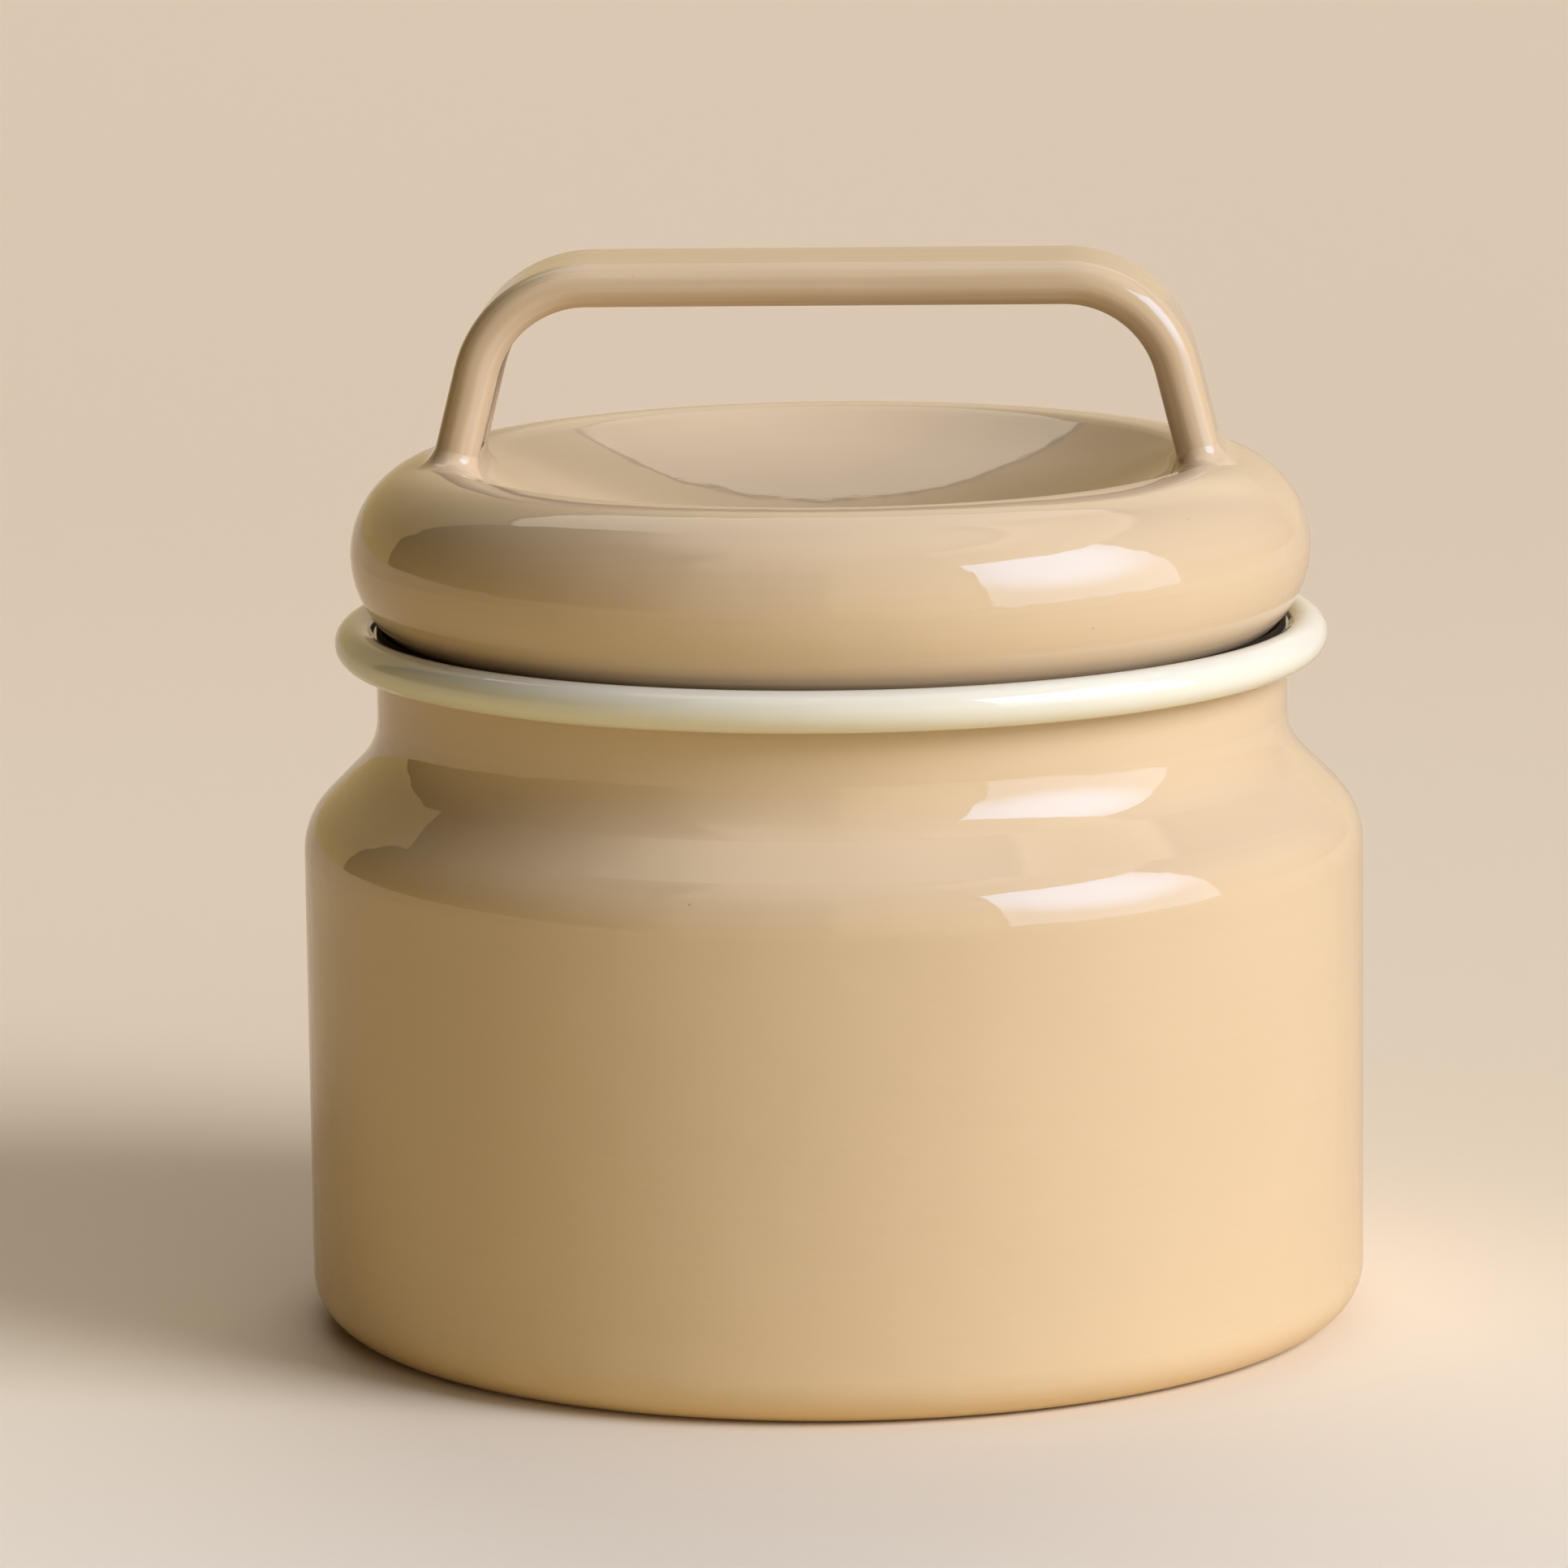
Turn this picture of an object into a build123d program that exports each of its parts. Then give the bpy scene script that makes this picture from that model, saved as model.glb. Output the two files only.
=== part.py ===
from build123d import *
import os
from math import asin, atan, cos, degrees, radians, sin, sqrt, tan

os.makedirs("parts", exist_ok=True)

# Storage jar: a shouldered enamelled steel jar with a rolled cream rim, closed by a hollow
# dished lid with a strap handle. Millimetres, +Z up, the handle runs along X, and the origin
# is the middle of the face that the jar stands on. Profiles are half sections in the XZ plane.

# Jar
body_radius = 75.0
jar_sheet = 1.0
wall_height = 67.5
base_corner_radius = 6.7
foot_ring_width = 18.0
base_recess_height = 1.2
base_recess_run = 4.0
shoulder_run = 10.7
shoulder_angle = 45.0
shoulder_bend_radius = 10.0
neck_bend_radius = 10.0
neck_height = 9.7

# Rolled rim
bead_radius = 2.9
bead_sheet = 0.9
bead_rise = 0.9
seat_rise = 2.2
seat_edge_radius = 0.3

# Lid
lid_sheet = 1.0
lid_overhang = 3.35
crown_radius = 13.2
tuck_radius = 14.4
rim_gap = 1.45
dish_depth = 16.0
dish_edge_radius = 6.0
plug_gap = 3.3
plug_depth = 8.8
plug_lip = 1.1
plug_lip_edge = 0.4
plug_corner_radius = 1.5

# Seal
seal_clearance = 0.3
seal_band = 1.3
fin_clearance = 0.35
fin_height = 1.4
fin_tip = 0.4
fin_pitch = 3.6
seal_flange = 0.9
seal_flange_gap = 0.4

# Handle
handle_thickness = 6.1
handle_width = 24.0
handle_sheet = 1.2
handle_slot = 12.0
handle_lip_radius = 0.4
handle_height = 28.0
handle_lean = 14.2
handle_bend_radius = 16.1
foot_inset = 2.25
foot_sink = 5.0
weld_rise = 1.8
weld_flare = 28.0
weld_edge = 0.12

# Places that follow from the sizes above
neck_radius = body_radius - shoulder_run
mouth_radius = neck_radius - jar_sheet
bend_share = 1 - cos(radians(shoulder_angle))
slope_run = shoulder_run - (shoulder_bend_radius + neck_bend_radius) * bend_share
bends_rise = (shoulder_bend_radius + neck_bend_radius) * sin(radians(shoulder_angle))
neck_start = wall_height + bends_rise + slope_run * tan(radians(shoulder_angle))
neck_top = neck_start + neck_height

bead_centre_radius = neck_radius + bead_radius
bead_centre_height = neck_top + bead_rise
seat_height = neck_top + seat_rise

lid_radius = neck_radius + lid_overhang
crown_centre_radius = lid_radius - crown_radius
tuck_centre_radius = lid_radius - tuck_radius
lid_equator = bead_centre_height + sqrt(
    (tuck_radius + bead_radius + rim_gap) ** 2 - (bead_centre_radius - tuck_centre_radius) ** 2
)
crown_height = lid_equator + crown_radius
dish_angle = 2 * atan(dish_depth / crown_centre_radius)
dish_sphere_radius = crown_centre_radius / sin(dish_angle) - dish_edge_radius
dish_floor = crown_height - dish_depth

plug_radius = mouth_radius - plug_gap
plug_bottom = seat_height - plug_depth
plug_lip_top = plug_bottom + lid_sheet
tuck_end_height = lid_equator - sqrt(tuck_radius**2 - (plug_radius - tuck_centre_radius) ** 2)

foot_radius = crown_centre_radius - foot_inset
bar_height = crown_height + handle_height - handle_thickness / 2
lean_run = tan(radians(handle_lean))
leg_top_radius = foot_radius - (bar_height - crown_height) * lean_run


def jar_outline(inset):
    """Half section of the jar's outer form, moved inward by the thickness of the sheet."""
    recess_edge = body_radius - base_corner_radius - foot_ring_width
    corner = base_corner_radius - inset
    lower_bend = shoulder_bend_radius - inset
    upper_bend = neck_bend_radius + inset
    recess_floor = base_recess_height + inset
    floor = (recess_edge - base_recess_run, recess_floor)
    middle = (recess_edge - base_recess_run / 2, inset + base_recess_height / 2)
    foot = (recess_edge, inset)
    corner_centre = (body_radius - base_corner_radius, base_corner_radius)
    lower_centre = (body_radius - shoulder_bend_radius, wall_height)
    upper_centre = (neck_radius + neck_bend_radius, neck_start)
    Line((0, recess_floor), floor)
    TangentArc(floor, middle, tangent=(1, 0))
    TangentArc(foot, middle, tangent=(-1, 0))
    Line(foot, (corner_centre[0], inset))
    CenterArc(corner_centre, corner, -90, 90)
    Line((body_radius - inset, base_corner_radius), (body_radius - inset, wall_height))
    lower = CenterArc(lower_centre, lower_bend, 0, shoulder_angle)
    upper = CenterArc(upper_centre, upper_bend, 180, shoulder_angle)
    Line(lower @ 1, upper @ 1)
    top = (neck_radius - inset, neck_top)
    Line((neck_radius - inset, neck_start), top)
    Line(top, (0, neck_top))
    Line((0, neck_top), (0, recess_floor))


def lid_skin(inset):
    """Half section of the lid's skin, moved inward by an inset. Returns its two ends."""
    turn = degrees(dish_angle)
    tuck = tuck_radius - inset
    trim = degrees(asin((lid_equator - tuck_end_height) / tuck))
    dish = CenterArc((0, dish_floor + dish_sphere_radius), dish_sphere_radius + inset, -90, turn)
    edge_centre = (crown_centre_radius, crown_height - dish_edge_radius)
    CenterArc(edge_centre, dish_edge_radius - inset, 90, turn)
    CenterArc((crown_centre_radius, lid_equator), crown_radius - inset, 0, 90)
    curl = CenterArc((tuck_centre_radius, lid_equator), tuck, -trim, trim)
    return dish @ 0, curl @ 0


def leg_frame(side, height):
    """Plane square to a handle leg, where its centre line passes the given height."""
    radius = foot_radius - (height - crown_height) * lean_run
    lean = radians(handle_lean)
    return Plane(
        origin=(side * radius, 0, height),
        x_dir=(0, 1, 0),
        z_dir=(-side * sin(lean), 0, cos(lean)),
    )


# Jar body: drawn steel shell with a raised middle under its base
with BuildPart() as jar_body:
    with BuildSketch(Plane.XZ):
        with BuildLine():
            jar_outline(0)
        make_face()
    revolve(axis=Axis.Z)
    with BuildSketch(Plane.XZ):
        with BuildLine():
            jar_outline(jar_sheet)
        make_face()
    revolve(axis=Axis.Z, mode=Mode.SUBTRACT)
jar_body.part.label = "jar_body"

# Rim bead: hollow rolled ring round the neck, with a flat seat above the neck's edge
with BuildPart() as rim_bead:
    with BuildSketch(Plane.XZ) as bead_section:
        with Locations((bead_centre_radius, bead_centre_height)):
            Circle(bead_radius)
        with Locations((mouth_radius, neck_top)):
            seat_width = jar_sheet + bead_sheet / 2
            Rectangle(seat_width, seat_rise, align=(Align.MIN, Align.MIN))
        with Locations((bead_centre_radius, bead_centre_height)):
            Circle(bead_radius - bead_sheet, mode=Mode.SUBTRACT)
        inner_edge = bead_section.vertices().sort_by(Axis.X)[:2].sort_by(Axis.Y)[-1]
        fillet(inner_edge, seat_edge_radius)
    revolve(axis=Axis.Z)
rim_bead.part.label = "rim_bead"

# Lid shell: one pressing, dished in the middle and curled in over the seal
with BuildPart() as lid_shell:
    with BuildSketch(Plane.XZ):
        with BuildLine():
            middle, hem = lid_skin(0)
            middle_under, hem_under = lid_skin(lid_sheet)
            Line(middle, middle_under)
            Line(hem, hem_under)
        make_face()
    revolve(axis=Axis.Z)
lid_shell.part.label = "lid_shell"

# Lid plug: shallow pan that closes the hollow lid and carries the seal above its lip
with BuildPart() as lid_plug:
    with BuildSketch(Plane.XZ) as plug_section:
        with BuildLine():
            plug_inside = plug_radius - lid_sheet
            lip_radius = plug_radius + plug_lip
            Polyline(
                (0, plug_bottom),
                (lip_radius, plug_bottom),
                (lip_radius, plug_lip_top),
                (plug_radius, plug_lip_top),
                (plug_radius, tuck_end_height),
                (plug_inside, tuck_end_height),
                (plug_inside, plug_lip_top),
                (0, plug_lip_top),
                close=True,
            )
        make_face()
        lip_corners = plug_section.vertices().group_by(Axis.X)[-1]
        fillet(lip_corners, plug_lip_edge)
        inside_corner = plug_section.vertices().group_by(Axis.X)[1].sort_by(Axis.Y)[0]
        fillet(inside_corner, plug_corner_radius)
    revolve(axis=Axis.Z)
lid_plug.part.label = "lid_plug"

# Seal ring: rubber band with two fins inside the neck and a flange on the rim's seat
with BuildPart() as seal_ring:
    with BuildSketch(Plane.XZ) as seal_section:
        with BuildLine():
            bore = plug_radius + seal_clearance
            band = bore + seal_band
            fin = mouth_radius - fin_clearance
            seat_level = seat_height - bead_centre_height
            bead_face = bead_centre_radius - sqrt(bead_radius**2 - seat_level**2)
            flange = bead_face - seal_flange_gap
            flange_top = seat_height + seal_flange
            cover = tuck_radius + seal_clearance
            cover_drop = lid_equator - flange_top
            cover_end = (tuck_centre_radius + sqrt(cover**2 - cover_drop**2), flange_top)
            bore_rise = sqrt(cover**2 - (bore - tuck_centre_radius) ** 2)
            cover_start = (bore, lid_equator - bore_rise)
            lower_fin = seat_height - fin_pitch
            slant = (fin_height - fin_tip) / 2
            RadiusArc(cover_start, cover_end, -cover)
            Polyline(
                cover_end,
                (flange, flange_top),
                (flange, seat_height),
                (fin, seat_height),
                (fin, seat_height - fin_tip),
                (band, seat_height - fin_tip - slant),
                (band, lower_fin + slant),
                (fin, lower_fin),
                (fin, lower_fin - fin_tip),
                (band, lower_fin - fin_tip - slant),
                (band, plug_lip_top),
                (bore, plug_lip_top),
                cover_start,
            )
        make_face()
    revolve(axis=Axis.Z)
seal_ring.part.label = "seal_ring"

# Space that the closed lid fills, which trims the handle's feet and their welds
with BuildPart() as lid_form:
    with BuildSketch(Plane.XZ):
        with BuildLine():
            middle, hem = lid_skin(0)
            Polyline(hem, (0, tuck_end_height), middle)
        make_face()
    revolve(axis=Axis.Z)

# Handle: strap with rolled edges, open along its inner side
with BuildPart() as handle:
    foot_level = crown_height - foot_sink
    foot_start = foot_radius + foot_sink * lean_run
    with BuildLine(Plane.XZ) as handle_path:
        FilletPolyline(
            (-foot_start, foot_level),
            (-leg_top_radius, bar_height),
            (leg_top_radius, bar_height),
            (foot_start, foot_level),
            radius=handle_bend_radius,
        )
    with BuildSketch(leg_frame(-1, foot_level)) as strap_section:
        SlotOverall(handle_width, handle_thickness)
        inner_width = handle_width - 2 * handle_sheet
        inner_thickness = handle_thickness - 2 * handle_sheet
        SlotOverall(inner_width, inner_thickness, mode=Mode.SUBTRACT)
        with Locations((0, -handle_thickness / 2)):
            Rectangle(handle_slot, handle_thickness, mode=Mode.SUBTRACT)
        lip_reach = handle_slot / 2 + handle_lip_radius
        lips = strap_section.vertices().filter_by_position(Axis.X, -lip_reach, lip_reach)
        fillet(lips, handle_lip_radius)
    sweep(path=handle_path.wires()[0])
    add(lid_form.part, mode=Mode.SUBTRACT)
handle.part.label = "handle"


def make_weld(side):
    """Weld round a handle leg, which slopes out from the leg until it meets the lid."""
    top = leg_frame(side, crown_height + weld_rise)
    with BuildPart() as weld:
        with BuildSketch(top):
            SlotOverall(handle_width + 2 * weld_edge, handle_thickness + 2 * weld_edge)
        extrude(amount=-weld_rise - foot_sink, taper=-weld_flare)
        with BuildSketch(top):
            SlotOverall(handle_width, handle_thickness)
        extrude(amount=-weld_rise - foot_sink, mode=Mode.SUBTRACT)
        add(lid_form.part, mode=Mode.SUBTRACT)
    return weld


left_weld = make_weld(-1)
left_weld.part.label = "left_weld"
right_weld = make_weld(1)
right_weld.part.label = "right_weld"

pieces = [jar_body, rim_bead, seal_ring, lid_shell, lid_plug, handle, left_weld, right_weld]
for piece in pieces:
    export_step(piece.part, f"parts/{piece.part.label}.step")
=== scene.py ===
from math import cos, pi, radians, sin

import bmesh
import bpy
from mathutils import Matrix, Vector
from mathutils.bvhtree import BVHTree


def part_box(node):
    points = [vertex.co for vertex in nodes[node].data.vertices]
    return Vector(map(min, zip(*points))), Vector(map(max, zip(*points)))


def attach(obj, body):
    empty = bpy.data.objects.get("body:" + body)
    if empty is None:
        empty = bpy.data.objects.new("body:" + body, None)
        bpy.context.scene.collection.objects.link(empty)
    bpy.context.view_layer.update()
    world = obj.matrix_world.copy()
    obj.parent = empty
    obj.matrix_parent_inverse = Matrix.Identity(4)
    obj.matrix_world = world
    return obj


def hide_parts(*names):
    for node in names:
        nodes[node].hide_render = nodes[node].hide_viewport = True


# Looks of the enamelled storage jar. Metres, +Z up, and the handle runs along X.

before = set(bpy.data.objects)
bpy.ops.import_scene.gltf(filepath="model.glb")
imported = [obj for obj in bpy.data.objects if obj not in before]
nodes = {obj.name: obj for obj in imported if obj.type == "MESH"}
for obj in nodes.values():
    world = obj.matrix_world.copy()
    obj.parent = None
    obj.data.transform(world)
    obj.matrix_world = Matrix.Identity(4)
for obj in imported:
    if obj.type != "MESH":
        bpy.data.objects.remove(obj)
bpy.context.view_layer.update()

# Camera: its place, its directions in radians, and its lens. CAMERA_TURN is the angle by which
# the photograph sees the handle turned, its right foot nearer to the lens.
CAMERA_DISTANCE = 1.19413
CAMERA_HEIGHT = 0.28724
CAMERA_TURN = 0.042
CAMERA_YAW = -0.0058
CAMERA_PITCH = 0.1755
CAMERA_ROLL = -0.0127
CAMERA_LENS = 196.32
SENSOR_WIDTH = 36.0
CAMERA_REACH = 100.0

# Colours, linear. PAPER is the backdrop, as only the camera sees it.
BEIGE = (0.66, 0.51, 0.345)
CREAM = (0.785, 0.775, 0.695)
RUBBER = (0.018, 0.012, 0.007)
RUBBER_BLOOM = (0.034, 0.024, 0.015)
PAPER = (0.725, 0.62, 0.49)

# Floor: its size, the distances behind the jar over which its tone deepens as painted shade,
# where the light falls off with distance, and its tones
FLOOR_SIZE = 24.0
FLOOR_FADE = (-0.2, 0.12)
FLOOR_FAR_FADE = (0.15, 0.9)
FLOOR_NEAR = (0.925, 0.84, 0.735)
FLOOR_FIBRE = (0.905, 0.82, 0.715)
FLOOR_MIDDLE = (0.82, 0.69, 0.53)
FLOOR_FAR = (0.78, 0.635, 0.485)

# Floor: the grain of its paper as scale and detail, and its gloss
FIBRES = (420.0, 3.0)
FIBRE_RANGE = (0.3, 0.7)
FIBRE_SHARE = 0.25
FLOOR_ROUGHNESS = 0.7
FLOOR_SPECULAR = 0.2

# Floor: its tone in the jar's gloss, the tones that it throws back near the jar and further
# out, and the distances from the jar over which the second takes over from the first. All are
# painted light: FLOOR_SHEEN is a deeper copy of the floor, painted shade in the jar's gloss;
# FLOOR_BOUNCE is a warmer copy that paints warm fill light onto the jar; FLOOR_UNLIT is
# painted shade for floor that the light no longer reaches
FLOOR_SHEEN = (0.68, 0.53, 0.38)
FLOOR_BOUNCE = (0.97, 0.78, 0.37)
FLOOR_UNLIT = (0.06, 0.03, 0.01)
FLOOR_LIT_REACH = (0.45, 0.80)

# Key light: degrees to the right of the camera and up, degrees across, strength and colour
KEY_PLACE = (62, 31)
KEY_ANGLE = 31
KEY_ENERGY = 2.4
KEY_COLOUR = (0.98, 1.0, 1.08)

# Lamp that glows in the panel, as gloss mirrors it: its place, its reach and its colour
LAMP_PLACE = (62, 36)
LAMP_REACH = 30
LAMP_GLOW = (1.8, 3.2, 5.6)

# Panel: azimuth from, to and softness, elevation from, to and softness, all in degrees, then
# its colour in the jar's gloss and the light that it throws on the colours
PANEL = (38, 91, 0.5, -40, 47, 0.7, (1.85, 2.1, 2.5), (1.2, 1.25, 1.4))

# Azimuth at which the room's dark left side begins, behind the jar
WALL_CORNER = -131

# Other parts of the studio, in the same terms. A negative one takes light away again, so that
# one edge of a wall stays crisp where the other fades.
STUDIO = (
    (-38, 0, 8, -40, 47, 6, (0.46, 0.44, 0.32), (0, 0, 0)),
    (0, 38, 4, -40, 47, 6, (1.05, 0.85, 0.55), (1.4, 1.25, 0.98)),
    (-45, 38, 6, -40, 16, 4, (0, 0, 0), (0.25, 0.18, 0.1)),
    (91, 150, 0.6, -40, 20, 5, (0.42, 0.24, 0.13), (0, 0, 0)),
    (91, 150, 0.6, 20, 47, 5, (0.45, 0.30, 0.18), (0.9, 0.95, 1.1)),
    (150, 240, 3, -40, 44.4, 0.6, (0.60, 0.43, 0.18), (0, 0, 0)),
    (150, 186, 14, -40, 44.4, 0.6, (0.75, 0.65, 0.54), (0, 0, 0)),
    (150, 186, 14, -40, 20, 8, (-0.62, -0.52, -0.36), (0, 0, 0)),
    (150, 200, 6, 14, 44, 1.5, (0, 0, 0), (2.6, 2.42, 2.1)),
    (-45, 38, 5, 47, 66, 6, (1.25, 1.00, 0.70), (0, 0, 0)),
    (38, 150, 3, 47, 66, 1, (1.35, 1.05, 0.75), (0, 0, 0)),
    (150, 240, 3, 45.2, 130, 0.6, (1.8, 1.55, 1.25), (0.7, 0.67, 0.6)),
    (150, 240, 3, 66, 130, 10, (-1.8, -1.55, -1.25), (-0.7, -0.67, -0.6)),
    (-200, 200, 0, 66, 130, 10, (1.95, 1.68, 1.35), (0, 0, 0)),
)

# Enamel: the scale and depth of its slow waves, its ripples, the marks along the metal, of the
# round pieces and of the strap, and its orange peel. MARK_STRETCH scales along and across.
WAVES = (36.0, 0.0003)
RIPPLES = (120.0, 0.00006)
MARKS = (1.0, 0.000005)
STRAP_MARKS = (1.6, 0.000012)
PEEL = (700.0, 0.000001)
MARK_STRETCH = (12.0, 1300.0)

# Enamel: its deeper tone by channel, as clouds and as marks: scale and detail, range, share
DEEPER = (0.90, 0.885, 0.87)
CLOUDS = (16.0, 4.0)
CLOUD_RANGE = (0.3, 0.75)
CLOUD_SHARE = 0.5
MARK_TONES = (1.2, 3.0)
MARK_TONE_RANGE = (0.42, 0.62)
MARK_SHARE = 0.10
STRAP_MARK_SHARE = 0.95

# Enamel: its pinholes, and the smears in its gloss
PINHOLE = (0.10, 0.06, 0.035)
PINHOLE_SCALE = 90.0
PINHOLE_SIZE = (0.010, 0.020)
PINHOLE_SHARE = 0.35
SMEARS = (0.3, 3.0)
SMEAR_RANGE = (0.3, 0.8)
GLOSS_ROUGHNESS = (0.008, 0.035)
ENAMEL_IOR = 1.56

# Inside of the jar: where faces begin to look inward, and the facing and height of its floor
INWARD_EDGE = -0.002
INSIDE_FLOOR_FACING = (0.6, 0.8)
INSIDE_FLOOR_HEIGHT = (0.010, 0.012)

# Rubber: its moulding marks, the bloom and rough patches as scale and detail, and its grain
RUBBER_STRETCH = (20.0, 900.0)
BLOOM = (90.0, 4.0)
BLOOM_RANGE = (0.35, 0.8)
ROUGH_PATCHES = (1.0, 3.0)
ROUGH_RANGE = (0.2, 0.8)
RUBBER_ROUGHNESS = (0.55, 0.75)
GRAIN = (2500.0, 3.0)
GRAIN_DEPTH = 0.00001
RUBBER_SPECULAR = 0.1

# Handle: its strap, the lean of its legs, the middle of its right bend across and up, and how
# far out its feet stand
HANDLE_WIDTH = 0.024
HANDLE_THICKNESS = 0.0061
HANDLE_LEAN = radians(14.2)
BEND_CENTRE = (0.03335, 0.13171)
FOOT_RADIUS = 0.0522

# Weld flares: their reach, how deep their back goes, how far their ends sink into the leg and
# the lid, and the points and steps that they are made of
FLARE = 0.0028
FLARE_DEPTH = 0.0003
FLARE_SINK = 0.00008
FLARE_TUCK = 0.00002
FLARE_POINTS = 200
FLARE_STEPS = 12

# Colour sockets of a mix node: share, first and second, and the result
MIX_INPUTS = (0, 6, 7)
MIX_RESULT = 2

HALF_TURN = 180
FULL_TURN = 360


def node(tree, kind, inputs=None, **settings):
    """Add a shader node, with its settings and the values or links of its inputs."""
    made = tree.nodes.new(kind)
    for name, value in settings.items():
        setattr(made, name, value)
    for key, value in (inputs or {}).items():
        if isinstance(value, bpy.types.NodeSocket):
            tree.links.new(value, made.inputs[key])
        else:
            made.inputs[key].default_value = value
    return made


def math(tree, operation, *values):
    """Add a math node and return its result."""
    return node(tree, "ShaderNodeMath", dict(enumerate(values)), operation=operation).outputs[0]


def ramp(tree, value, low, high, to_low=0.0, to_high=1.0):
    """Smooth step of a value from one level to another."""
    inputs = {"Value": value, "From Min": low, "From Max": high, "To Min": to_low, "To Max": to_high}
    return node(tree, "ShaderNodeMapRange", inputs, interpolation_type="SMOOTHSTEP").outputs[0]


def window(tree, value, low, high, soft):
    """1 between two limits and 0 outside, with soft edges."""
    rise = ramp(tree, value, low - soft, low + soft)
    fall = ramp(tree, value, high - soft, high + soft, 1.0, 0.0)
    return math(tree, "MULTIPLY", rise, fall)


def mix(tree, share, first, second):
    """Mix two colours."""
    made = node(tree, "ShaderNodeMix", data_type="RGBA")
    for index, value in zip(MIX_INPUTS, (share, first, second)):
        socket = made.inputs[index]
        if isinstance(value, bpy.types.NodeSocket):
            tree.links.new(value, socket)
        elif isinstance(value, tuple):
            socket.default_value = (*value, 1.0)
        else:
            socket.default_value = value
    return made.outputs[MIX_RESULT]


def new_material(name):
    """Make a material with an empty node tree and a principled shader."""
    material = bpy.data.materials.new(name)
    material.use_nodes = True
    tree = material.node_tree
    tree.nodes.clear()
    shader = node(tree, "ShaderNodeBsdfPrincipled")
    output = node(tree, "ShaderNodeOutputMaterial")
    tree.links.new(shader.outputs[0], output.inputs["Surface"])
    return material, tree, shader


def position(tree):
    """Place on the object, whole and as its three parts."""
    place = node(tree, "ShaderNodeTexCoord").outputs["Object"]
    return place, node(tree, "ShaderNodeSeparateXYZ", {0: place}).outputs


def round_marks(tree, parts, along, across):
    """Coordinates stretched round the jar's axis, as the marks of drawing and dipping are."""
    level = node(tree, "ShaderNodeCombineXYZ", {"X": parts[0], "Y": parts[1]}).outputs[0]
    radius = node(tree, "ShaderNodeVectorMath", {0: level}, operation="LENGTH").outputs["Value"]
    height = math(tree, "MULTIPLY", math(tree, "ADD", parts[2], radius), across)
    x = math(tree, "MULTIPLY", parts[0], along)
    y = math(tree, "MULTIPLY", parts[1], along)
    return node(tree, "ShaderNodeCombineXYZ", {"X": x, "Y": y, "Z": height}).outputs[0]


def strap_marks(tree, parts, along, across):
    """Coordinates stretched along the handle's strap: its run, its width, and its depth."""

    def turned(first, second, operation):
        """Two lengths turned with the leg's lean, added or subtracted."""
        first = math(tree, "MULTIPLY", first[0], first[1])
        second = math(tree, "MULTIPLY", second[0], second[1])
        return math(tree, operation, first, second)

    lean_sin, lean_cos = sin(HANDLE_LEAN), cos(HANDLE_LEAN)
    x = math(tree, "SUBTRACT", math(tree, "ABSOLUTE", parts[0]), BEND_CENTRE[0])
    z = math(tree, "SUBTRACT", parts[2], BEND_CENTRE[1])
    off_leg = turned((x, lean_cos), (z, lean_sin), "ADD")
    up_leg = turned((z, lean_cos), (x, lean_sin), "SUBTRACT")
    past_bar = math(tree, "GREATER_THAN", x, 0.0)
    over_leg = math(tree, "GREATER_THAN", up_leg, 0.0)
    in_bend = math(tree, "MULTIPLY", past_bar, over_leg)
    flat = node(tree, "ShaderNodeCombineXYZ", {"X": x, "Z": z}).outputs[0]
    round_bend = node(tree, "ShaderNodeVectorMath", {0: flat}, operation="LENGTH").outputs["Value"]
    straight = math(tree, "MAXIMUM", z, off_leg)
    gain = math(tree, "MULTIPLY", in_bend, math(tree, "SUBTRACT", round_bend, straight))
    out = math(tree, "MULTIPLY", math(tree, "ADD", straight, gain), across)
    run = math(tree, "MULTIPLY", math(tree, "ADD", parts[0], parts[2]), along)
    y = math(tree, "MULTIPLY", parts[1], across)
    return node(tree, "ShaderNodeCombineXYZ", {"X": run, "Y": y, "Z": out}).outputs[0]


def noise(tree, place, scale, detail=2.0):
    """Noise at a place, with more or less fine detail."""
    inputs = {"Vector": place, "Scale": scale, "Detail": detail}
    return node(tree, "ShaderNodeTexNoise", inputs).outputs[0]


def enamel_relief(tree, place, drawn, drawn_relief):
    """Bump of fired enamel: slow waves, ripples, faint marks along the metal, and fine orange peel."""
    relief = None
    layers = ((place, WAVES), (place, RIPPLES), (drawn, drawn_relief), (place, PEEL))
    for where, (scale, depth) in layers:
        inputs = {"Strength": 1.0, "Distance": depth, "Height": noise(tree, where, scale)}
        if relief:
            inputs["Normal"] = relief
        relief = node(tree, "ShaderNodeBump", inputs).outputs[0]
    return relief


def enamel_colour(tree, place, drawn, colour, mark_share):
    """Fired enamel varies a little in depth of colour, with rare dark pinholes."""
    deep = tuple(tone * share for tone, share in zip(colour, DEEPER))
    clouds = ramp(tree, noise(tree, place, *CLOUDS), *CLOUD_RANGE)
    base = mix(tree, math(tree, "MULTIPLY", clouds, CLOUD_SHARE), colour, deep)
    marks = ramp(tree, noise(tree, drawn, *MARK_TONES), *MARK_TONE_RANGE)
    base = mix(tree, math(tree, "MULTIPLY", marks, mark_share), base, deep)
    holes = node(tree, "ShaderNodeTexVoronoi", {"Vector": place, "Scale": PINHOLE_SCALE})
    pinhole = ramp(tree, holes.outputs["Distance"], *PINHOLE_SIZE, PINHOLE_SHARE, 0.0)
    return mix(tree, pinhole, base, PINHOLE)


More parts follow.
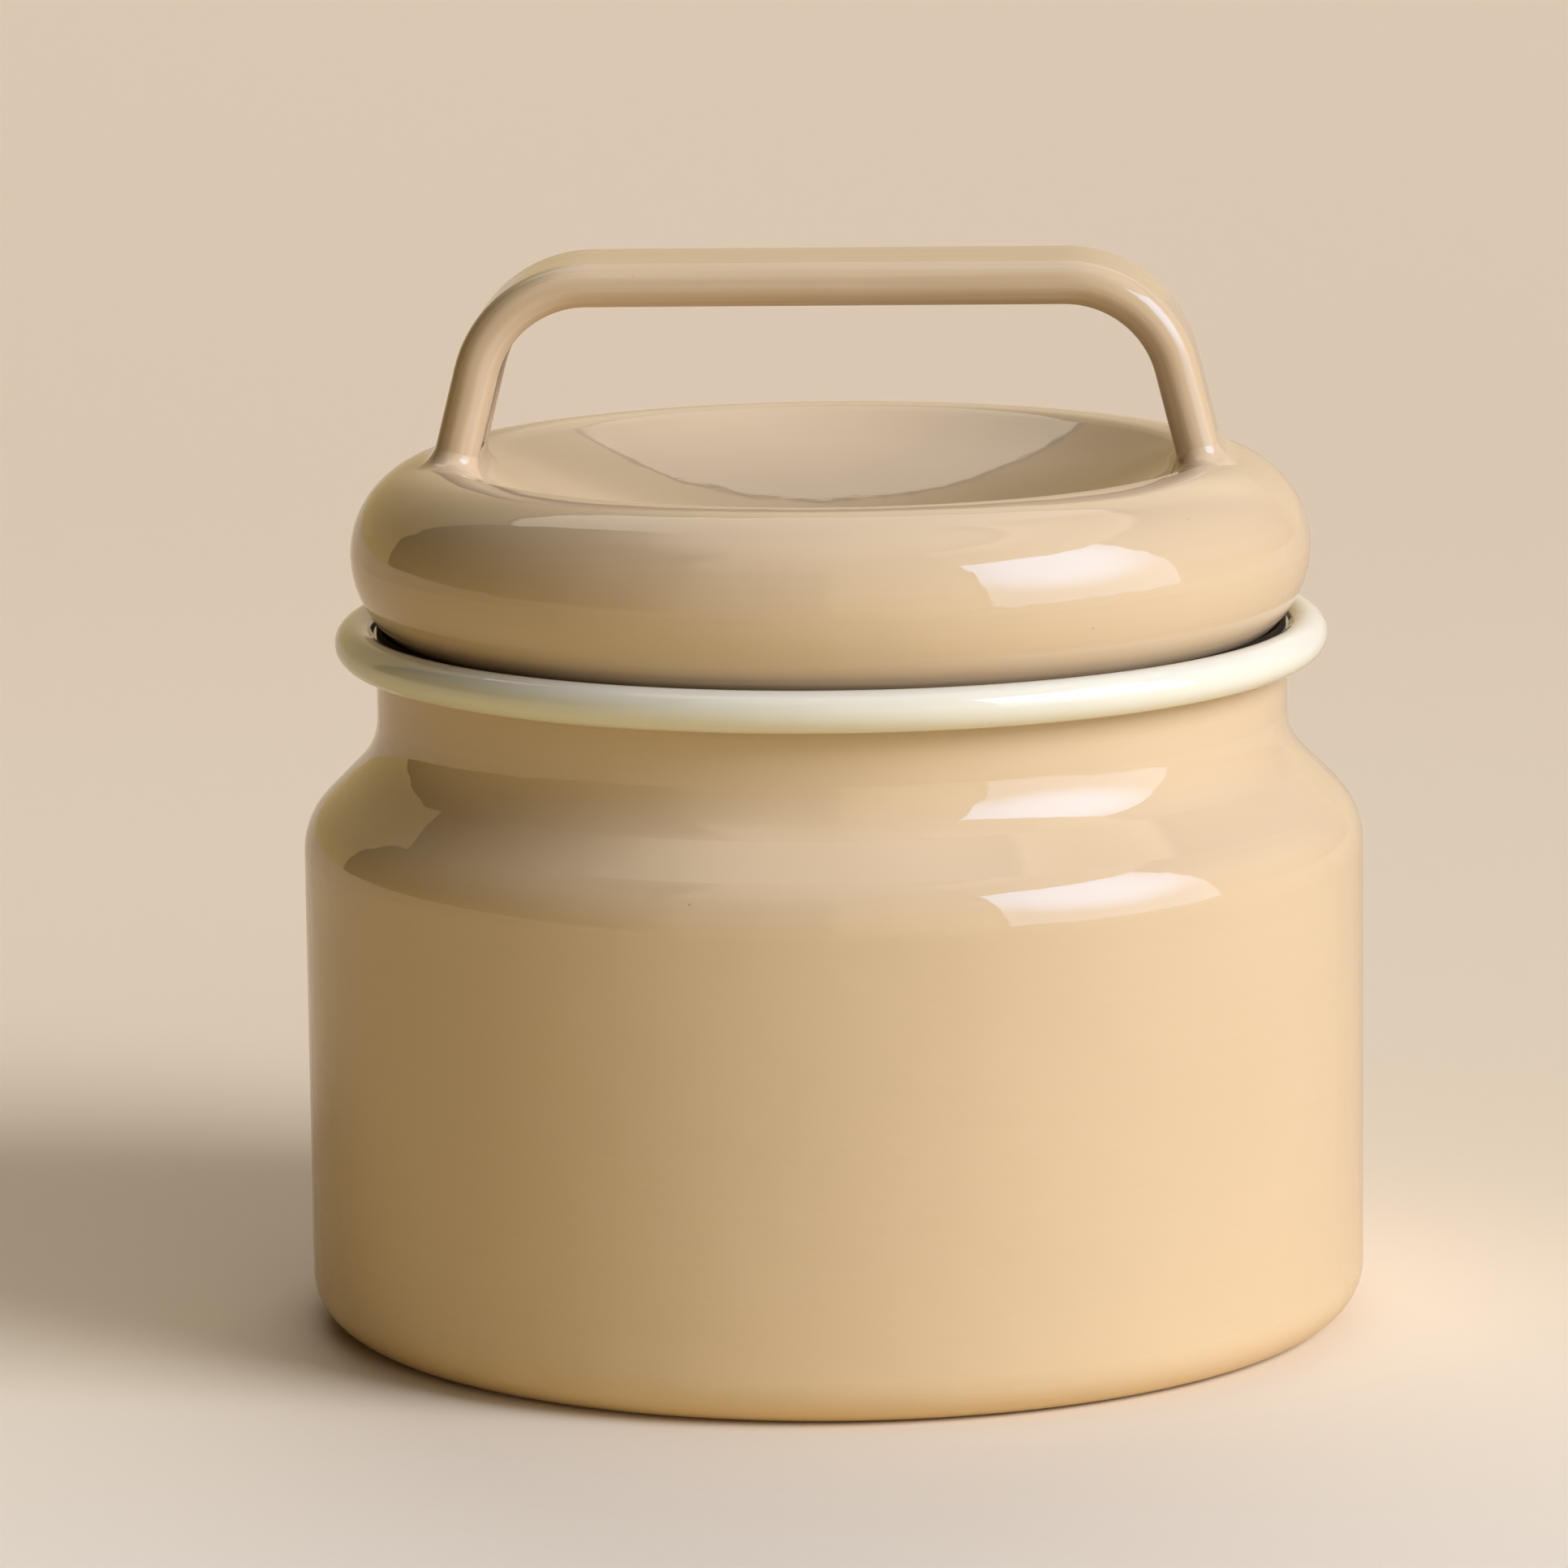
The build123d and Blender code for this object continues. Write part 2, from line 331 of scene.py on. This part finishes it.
def enamel(
    name, colour, inside=None, marks=round_marks, drawn_relief=MARKS, mark_share=MARK_SHARE
):
    """Glossy vitreous enamel, with another colour on the inside of a vessel if one is given."""
    material, tree, shader = new_material(name)
    place, parts = position(tree)
    drawn = marks(tree, parts, *MARK_STRETCH)
    base = enamel_colour(tree, place, drawn, colour, mark_share)
    if inside:
        inner = enamel_colour(tree, place, drawn, inside, mark_share)
        base = mix(tree, inside_share(tree, parts), base, inner)
    tree.links.new(base, shader.inputs["Base Color"])
    smears = ramp(tree, noise(tree, drawn, *SMEARS), *SMEAR_RANGE, *GLOSS_ROUGHNESS)
    tree.links.new(smears, shader.inputs["Roughness"])
    tree.links.new(enamel_relief(tree, place, drawn, drawn_relief), shader.inputs["Normal"])
    shader.inputs["IOR"].default_value = ENAMEL_IOR
    return material


def inside_share(tree, parts):
    """1 on faces that look towards the jar's axis or lie on its inner floor."""
    normal = node(tree, "ShaderNodeTexCoord").outputs["Normal"]
    facing = node(tree, "ShaderNodeSeparateXYZ", {0: normal}).outputs
    outward_x = math(tree, "MULTIPLY", parts[0], facing[0])
    outward_y = math(tree, "MULTIPLY", parts[1], facing[1])
    outward = math(tree, "ADD", outward_x, outward_y)
    inward = ramp(tree, outward, INWARD_EDGE, 0.0, 1.0, 0.0)
    faces_up = ramp(tree, facing[2], *INSIDE_FLOOR_FACING)
    lies_low = ramp(tree, parts[2], *INSIDE_FLOOR_HEIGHT, 1.0, 0.0)
    return math(tree, "MAXIMUM", inward, math(tree, "MULTIPLY", faces_up, lies_low))


def seal_rubber():
    """Black rubber with a faint bloom and a fine moulded grain."""
    material, tree, shader = new_material("seal_rubber")
    place, parts = position(tree)
    drawn = round_marks(tree, parts, *RUBBER_STRETCH)
    bloom = ramp(tree, noise(tree, place, *BLOOM), *BLOOM_RANGE)
    tree.links.new(mix(tree, bloom, RUBBER, RUBBER_BLOOM), shader.inputs["Base Color"])
    rough = ramp(tree, noise(tree, drawn, *ROUGH_PATCHES), *ROUGH_RANGE, *RUBBER_ROUGHNESS)
    tree.links.new(rough, shader.inputs["Roughness"])
    grain = noise(tree, place, *GRAIN)
    relief = node(tree, "ShaderNodeBump", {"Strength": 1.0, "Distance": GRAIN_DEPTH, "Height": grain})
    tree.links.new(relief.outputs[0], shader.inputs["Normal"])
    shader.inputs["Specular IOR Level"].default_value = RUBBER_SPECULAR
    return material


def paint(obj, material):
    """Give a piece one material, in place of any that it has."""
    obj.data.materials.clear()
    obj.data.materials.append(material)


def smooth_mesh(name, points, faces, flat=()):
    """Make a mesh object with smooth faces, apart from those listed as flat."""
    mesh = bpy.data.meshes.new(name)
    mesh.from_pydata(points, [], faces)
    shape = bmesh.new()
    shape.from_mesh(mesh)
    bmesh.ops.recalc_face_normals(shape, faces=shape.faces)
    shape.to_mesh(mesh)
    shape.free()
    mesh.polygons.foreach_set("use_smooth", [i not in flat for i in range(len(mesh.polygons))])
    mesh.update()
    made = bpy.data.objects.new(name, mesh)
    bpy.context.scene.collection.objects.link(made)
    return made


def stadium(width, thickness, count):
    """Points round a strap's section, each with its direction outward, across and through it."""
    end = thickness / 2
    straight = width - thickness
    around = 2 * straight + 2 * pi * end
    points = []
    for i in range(count):
        run = around * i / count
        if run < straight:
            points.append(((run - straight / 2, -end), (0.0, -1.0)))
            continue
        run -= straight
        if run < pi * end:
            turn = run / end - pi / 2
            points.append(((straight / 2 + end * cos(turn), end * sin(turn)), (cos(turn), sin(turn))))
            continue
        run -= pi * end
        if run < straight:
            points.append(((straight / 2 - run, end), (0.0, 1.0)))
            continue
        turn = (run - straight) / end + pi / 2
        points.append(((-straight / 2 + end * cos(turn), end * sin(turn)), (cos(turn), sin(turn))))
    return points


def mesh_surface(name):
    """A node's surface, to find where a line meets it."""
    mesh = nodes[name].data
    return BVHTree.FromPolygons([v.co for v in mesh.vertices], [p.vertices for p in mesh.polygons])


def weld_flare(name, side, surface, crown):
    """Enamelled weld that flares in a hollow curve from a handle leg out onto the lid."""
    up = Vector((-side * sin(HANDLE_LEAN), 0, cos(HANDLE_LEAN)))
    across = Vector((0, 1, 0))
    through = across.cross(up)
    foot = Vector((side * FOOT_RADIUS, 0, crown))
    rings = []
    for place, facing in stadium(HANDLE_WIDTH, HANDLE_THICKNESS, FLARE_POINTS):
        out = across * facing[0] + through * facing[1]
        skin = foot + across * place[0] + through * place[1]
        join, normal = surface.ray_cast(skin + up * HANDLE_WIDTH, -up)[:2]
        level = (out - normal * out.dot(normal)).normalized()
        section = [join + up * FLARE - out * FLARE_DEPTH]
        for step in range(FLARE_STEPS + 1):
            t = step / FLARE_STEPS
            base, far_normal = surface.find_nearest(join + level * FLARE * t * t)[:2]
            rise = up.lerp(far_normal, t).normalized()
            fade = (1 - t) ** 2
            sunk = out * FLARE_SINK * fade + far_normal * FLARE_TUCK * t * t
            section.append(base + rise * FLARE * fade - sunk)
        section.append(base - far_normal * FLARE_DEPTH)
        section.append(join - up * FLARE_DEPTH - out * FLARE_DEPTH)
        rings.append(section)
    ring_size = len(rings[0])
    points = [p for ring in rings for p in ring]
    faces, hidden = [], set()
    for i in range(FLARE_POINTS):
        j = (i + 1) % FLARE_POINTS
        for k in range(ring_size):
            m = (k + 1) % ring_size
            if not 1 <= k <= FLARE_STEPS:
                hidden.add(len(faces))
            this, other = i * ring_size, j * ring_size
            faces.append((this + k, other + k, other + m, this + m))
    return smooth_mesh(name, points, faces, hidden)


def make_camera():
    """Camera where the photograph's was, with the handle along X."""
    yaw = CAMERA_YAW - CAMERA_TURN
    level = cos(CAMERA_PITCH)
    forward = Vector((sin(yaw) * level, cos(yaw) * level, -sin(CAMERA_PITCH)))
    right = Vector((cos(yaw), -sin(yaw), 0))
    up = right.cross(forward)
    turned_right = right * cos(CAMERA_ROLL) + up * sin(CAMERA_ROLL)
    turned_up = up * cos(CAMERA_ROLL) - right * sin(CAMERA_ROLL)
    data = bpy.data.cameras.new("camera")
    data.lens = CAMERA_LENS
    data.sensor_width = SENSOR_WIDTH
    data.sensor_fit = "HORIZONTAL"
    data.clip_end = CAMERA_REACH
    camera = bpy.data.objects.new("camera", data)
    bpy.context.scene.collection.objects.link(camera)
    turn = Matrix((turned_right, turned_up, -forward)).transposed().to_4x4()
    aside, back = CAMERA_DISTANCE * sin(CAMERA_TURN), CAMERA_DISTANCE * cos(CAMERA_TURN)
    camera.matrix_world = Matrix.Translation((aside, -back, CAMERA_HEIGHT)) @ turn
    bpy.context.scene.camera = camera


def ray_kinds(tree):
    """Two shares: 1 for rays from the camera, and 1 for rays that gloss or glass has turned."""
    path = node(tree, "ShaderNodeLightPath").outputs
    shiny = math(tree, "MAXIMUM", path["Is Glossy Ray"], path["Is Transmission Ray"])
    return path["Is Camera Ray"], shiny


def make_floor():
    """Plain pale floor that runs far behind the jar, painted a little deeper in tone with distance as
    shade where the light falls off.
    """
    half = FLOOR_SIZE / 2
    corners = [(-half, -half, 0), (half, -half, 0), (half, half, 0), (-half, half, 0)]
    floor = smooth_mesh("floor", corners, [(0, 1, 2, 3)])
    material, tree, shader = new_material("floor_paper")
    place, parts = position(tree)
    fibres = ramp(tree, noise(tree, place, *FIBRES), *FIBRE_RANGE)
    tone = mix(tree, math(tree, "MULTIPLY", fibres, FIBRE_SHARE), FLOOR_NEAR, FLOOR_FIBRE)
    # Painted shade: FLOOR_MIDDLE and FLOOR_FAR darken the floor behind the jar, where the light falls
    # off.
    tone = mix(tree, ramp(tree, parts[1], *FLOOR_FADE), tone, FLOOR_MIDDLE)
    tone = mix(tree, ramp(tree, parts[1], *FLOOR_FAR_FADE), tone, FLOOR_FAR)
    camera_ray, shiny = ray_kinds(tree)
    reach = node(tree, "ShaderNodeVectorMath", {0: place}, operation="LENGTH").outputs["Value"]
    # Painted light: bounce rays see a warm copy of the floor that turns to painted shade (FLOOR_UNLIT)
    # beyond FLOOR_LIT_REACH, and gloss sees the deeper FLOOR_SHEEN.
    bounce = mix(tree, ramp(tree, reach, *FLOOR_LIT_REACH), FLOOR_BOUNCE, FLOOR_UNLIT)
    thrown = mix(tree, shiny, bounce, FLOOR_SHEEN)
    tree.links.new(mix(tree, camera_ray, thrown, tone), shader.inputs["Base Color"])
    shader.inputs["Roughness"].default_value = FLOOR_ROUGHNESS
    shader.inputs["Specular IOR Level"].default_value = FLOOR_SPECULAR
    paint(floor, material)


def studio_direction(azimuth, elevation):
    """Direction seen from the jar: 0 azimuth is towards the camera, and positive is to its right."""
    a, e = radians(azimuth) + CAMERA_TURN, radians(elevation)
    return Vector((cos(e) * sin(a), -cos(e) * cos(a), sin(e)))


def make_key():
    """Soft key light from the right, which the surfaces mirror as the panel in the world."""
    data = bpy.data.lights.new("key", "SUN")
    data.energy = KEY_ENERGY
    data.angle = radians(KEY_ANGLE)
    data.color = KEY_COLOUR
    key = bpy.data.objects.new("key", data)
    bpy.context.scene.collection.objects.link(key)
    key.rotation_euler = studio_direction(*KEY_PLACE).to_track_quat("Z", "Y").to_euler()
    key.visible_glossy = False


def add_scaled(tree, total, share, colour):
    """Add a share of a colour to a running total."""
    inputs = {0: share, 1: colour, 2: total}
    return node(tree, "ShaderNodeVectorMath", inputs, operation="MULTIPLY_ADD").outputs[0]


def make_world():
    """Studio round the jar: gloss mirrors its parts, and the wider ones light the colours too."""
    world = bpy.data.worlds.new("studio")
    bpy.context.scene.world = world
    world.use_nodes = True
    tree = world.node_tree
    tree.nodes.clear()
    direction = node(tree, "ShaderNodeTexCoord").outputs["Generated"]
    parts = node(tree, "ShaderNodeSeparateXYZ", {0: direction}).outputs
    azimuth = math(tree, "ARCTAN2", parts[0], math(tree, "MULTIPLY", parts[1], -1.0))
    azimuth = math(tree, "MULTIPLY", azimuth, HALF_TURN / pi)
    azimuth = math(tree, "SUBTRACT", azimuth, CAMERA_TURN * HALF_TURN / pi)
    azimuth = math(tree, "WRAP", azimuth, WALL_CORNER + FULL_TURN, WALL_CORNER)
    elevation = math(tree, "MULTIPLY", math(tree, "ARCSINE", parts[2]), HALF_TURN / pi)

    def share_of(low, high, soft, base, top, top_soft):
        """Share of one part of the studio in the direction looked at."""
        share = window(tree, elevation, base, top, top_soft)
        if high - low < FULL_TURN:
            share = math(tree, "MULTIPLY", share, window(tree, azimuth, low, high, soft))
        return share

    mirrored, lighting = (0.0, 0.0, 0.0), (0.0, 0.0, 0.0)
    for *limits, seen, light in (PANEL, *STUDIO):
        share = share_of(*limits)
        if any(seen):
            mirrored = add_scaled(tree, mirrored, share, seen)
        if any(light):
            lighting = add_scaled(tree, lighting, share, light)
    lamp = {0: direction, 1: studio_direction(*LAMP_PLACE)}
    lamp = node(tree, "ShaderNodeVectorMath", lamp, operation="DOT_PRODUCT").outputs["Value"]
    glow = ramp(tree, lamp, cos(radians(LAMP_REACH)), 1.0)
    *panel_limits, _, _ = PANEL
    glow = math(tree, "MULTIPLY", glow, share_of(*panel_limits))
    mirrored = add_scaled(tree, mirrored, glow, LAMP_GLOW)

    camera_ray, shiny = ray_kinds(tree)
    seen = mix(tree, shiny, lighting, mirrored)
    seen = mix(tree, camera_ray, seen, PAPER)
    background = node(tree, "ShaderNodeBackground", {"Color": seen, "Strength": 1.0})
    output = node(tree, "ShaderNodeOutputWorld")
    tree.links.new(background.outputs[0], output.inputs["Surface"])


make_camera()
make_floor()
make_key()
make_world()
bpy.context.scene.view_settings.view_transform = "Standard"

body_enamel = enamel("body_enamel", BEIGE, inside=CREAM)
lid_enamel = enamel("lid_enamel", BEIGE)
strap_enamel = enamel(
    "strap_enamel", BEIGE, marks=strap_marks, drawn_relief=STRAP_MARKS, mark_share=STRAP_MARK_SHARE
)
cream_enamel = enamel("rim_enamel", CREAM)
rubber = seal_rubber()
finishes = {
    "jar_body": body_enamel,
    "rim_bead": cream_enamel,
    "seal_ring": rubber,
    "lid_shell": lid_enamel,
    "lid_plug": cream_enamel,
    "handle": strap_enamel,
}
for name, material in finishes.items():
    paint(nodes[name], material)

surface = mesh_surface("lid_shell")
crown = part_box("lid_shell")[1].z
for side, name in ((-1, "left_weld"), (1, "right_weld")):
    flare = weld_flare(name + "_flare", side, surface, crown)
    paint(flare, lid_enamel)
    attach(flare, "lid")
    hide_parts(name)
